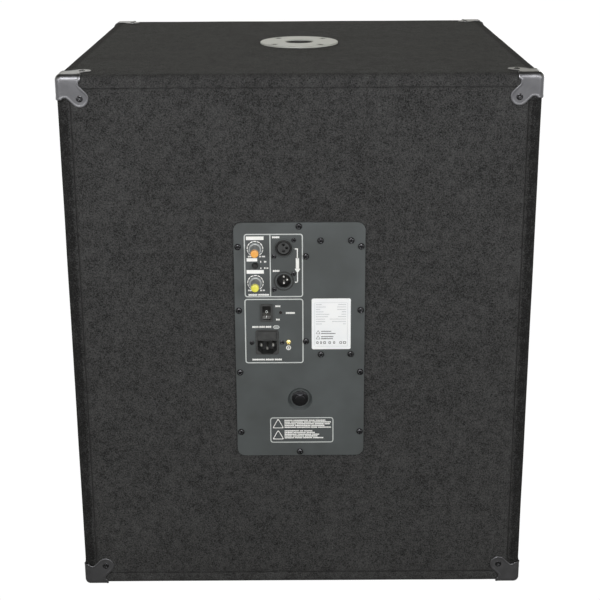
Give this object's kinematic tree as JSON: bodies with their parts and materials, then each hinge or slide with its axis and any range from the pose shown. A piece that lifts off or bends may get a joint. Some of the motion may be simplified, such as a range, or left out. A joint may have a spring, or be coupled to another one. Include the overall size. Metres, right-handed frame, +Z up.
{
  "type": "powered subwoofer",
  "caption": "Carpeted active subwoofer cabinet with rear amplifier plate, controls, sockets, side handles, pole socket, corner protectors and a grilled woofer.",
  "frame": {"origin": "centre of the bounding box's bottom, on the floor under the four rubber feet", "axes": "+Z up; -Y the front, where the grille is; +Y the rear, where the amplifier plate is; +X to the right of someone who faces the grille from in front and looks along +Y"},
  "size_m": [0.554, 0.5352, 0.6707],
  "materials": {
    "plywood": "sealed birch plywood",
    "baffle_paint": "black painted plywood",
    "felt_carpet": "needle-felt cabinet carpet",
    "protector_steel": "satin grey lacquer on pressed steel",
    "flange_enamel": "satin light grey enamel",
    "rubber": "matte",
    "handle_plastic": "moulded",
    "grille_steel": "black powder coat",
    "acoustic_foam": "open-cell foam sheet",
    "cast_aluminium": "black coated casting",
    "plated_steel": "zinc plated",
    "ferrite": "ferrite ceramic",
    "cone_paper": "pressed paper pulp",
    "cap_paper": "coated paper",
    "coil_copper": "enamelled copper wire",
    "surround_rubber": "treated",
    "spider_cloth": "phenolic-treated cloth",
    "port_plastic": "moulded",
    "plate_paint": "satin dark grey powder coat",
    "transformer_tape": "polyester tape wrap",
    "heatsink_aluminium": "extruded",
    "circuit_board": "solder mask",
    "black_nylon": "moulded",
    "knob_grey": "moulded",
    "cap_orange": "moulded",
    "cap_yellow": "moulded",
    "lamp_red": "tinted lens",
    "brass": "turned",
    "label_paper": "printed film"
  },
  "bodies": {
    "cabinet": {"top_panel": "plywood", "bottom_panel": "plywood", "left_panel": "plywood", "right_panel": "plywood", "rear_panel": "plywood", "front_baffle": "baffle_paint", "carpet_wrap": "felt_carpet", "carpet_rear": "felt_carpet", "corner_bottom_front_left": "protector_steel", "corner_top_front_left": "protector_steel", "corner_bottom_rear_left": "protector_steel", "corner_top_rear_left": "protector_steel", "corner_bottom_front_right": "protector_steel", "corner_top_front_right": "protector_steel", "corner_bottom_rear_right": "protector_steel", "corner_top_rear_right": "protector_steel", "pole_socket": "flange_enamel", "foot_front_left": "rubber", "foot_front_right": "rubber", "foot_rear_left": "rubber", "foot_rear_right": "rubber", "handle_cup_left": "handle_plastic", "handle_grip_left": "rubber", "handle_cup_right": "handle_plastic", "handle_grip_right": "rubber", "grille": "grille_steel", "grille_foam": "acoustic_foam", "woofer_basket": "cast_aluminium", "magnet_top_plate": "plated_steel", "magnet_ring": "ferrite", "magnet_back_plate": "plated_steel", "surround": "surround_rubber", "spider": "spider_cloth", "port_tube_left": "port_plastic", "port_tube_right": "port_plastic", "amp_plate": "plate_paint", "toroid_transformer": "transformer_tape", "transformer_washer": "plated_steel", "transformer_bolt": "plated_steel", "heatsink": "heatsink_aluminium", "amp_board": "circuit_board", "control_board": "circuit_board", "input_xlr": "black_nylon", "thru_xlr": "black_nylon", "rocker_frame": "black_nylon", "mains_inlet": "black_nylon", "power_lamp": "lamp_red", "earth_screw": "brass", "rating_label": "label_paper"},
    "level_control": {"level_knob": "knob_grey", "level_cap": "cap_orange"},
    "crossover_control": {"crossover_knob": "knob_grey", "crossover_cap": "cap_yellow"},
    "phase_key": {"phase_button": "black_nylon"},
    "rocker": {"power_rocker": "black_nylon"},
    "fuse_tray": {"fuse_drawer": "black_nylon"},
    "diaphragm": {"woofer_cone": "cone_paper", "dust_cap": "cap_paper", "voice_coil": "coil_copper"}
  },
  "joints": [
    {"name": "level_turn", "type": "hinge", "parent": "cabinet", "child": "level_control", "pos_m": [0.053, 0.2458, 0.4638], "axis": [0, 1, 0], "range_deg": [-150, 150]},
    {"name": "crossover_turn", "type": "hinge", "parent": "cabinet", "child": "crossover_control", "pos_m": [0.053, 0.2458, 0.422], "axis": [0, 1, 0], "range_deg": [-150, 150]},
    {"name": "phase_press", "type": "slide", "parent": "cabinet", "child": "phase_key", "axis": [0, -1, 0], "range_m": [0, 0.0025], "stiffness_N_per_m": 400, "springref_m": -0.0005},
    {"name": "power_tilt", "type": "hinge", "parent": "cabinet", "child": "rocker", "pos_m": [0.0404, 0.2434, 0.3846], "axis": [1, 0, 0], "range_deg": [-18, 0]},
    {"name": "fuse_drawer_slide", "type": "slide", "parent": "cabinet", "child": "fuse_tray", "axis": [0, 1, 0], "range_m": [0, 0.02]},
    {"name": "cone_travel", "type": "slide", "parent": "cabinet", "child": "diaphragm", "axis": [0, -1, 0], "range_m": [-0.008, 0.008], "stiffness_N_per_m": 6000, "deforming": ["surround", "spider"]}
  ]
}
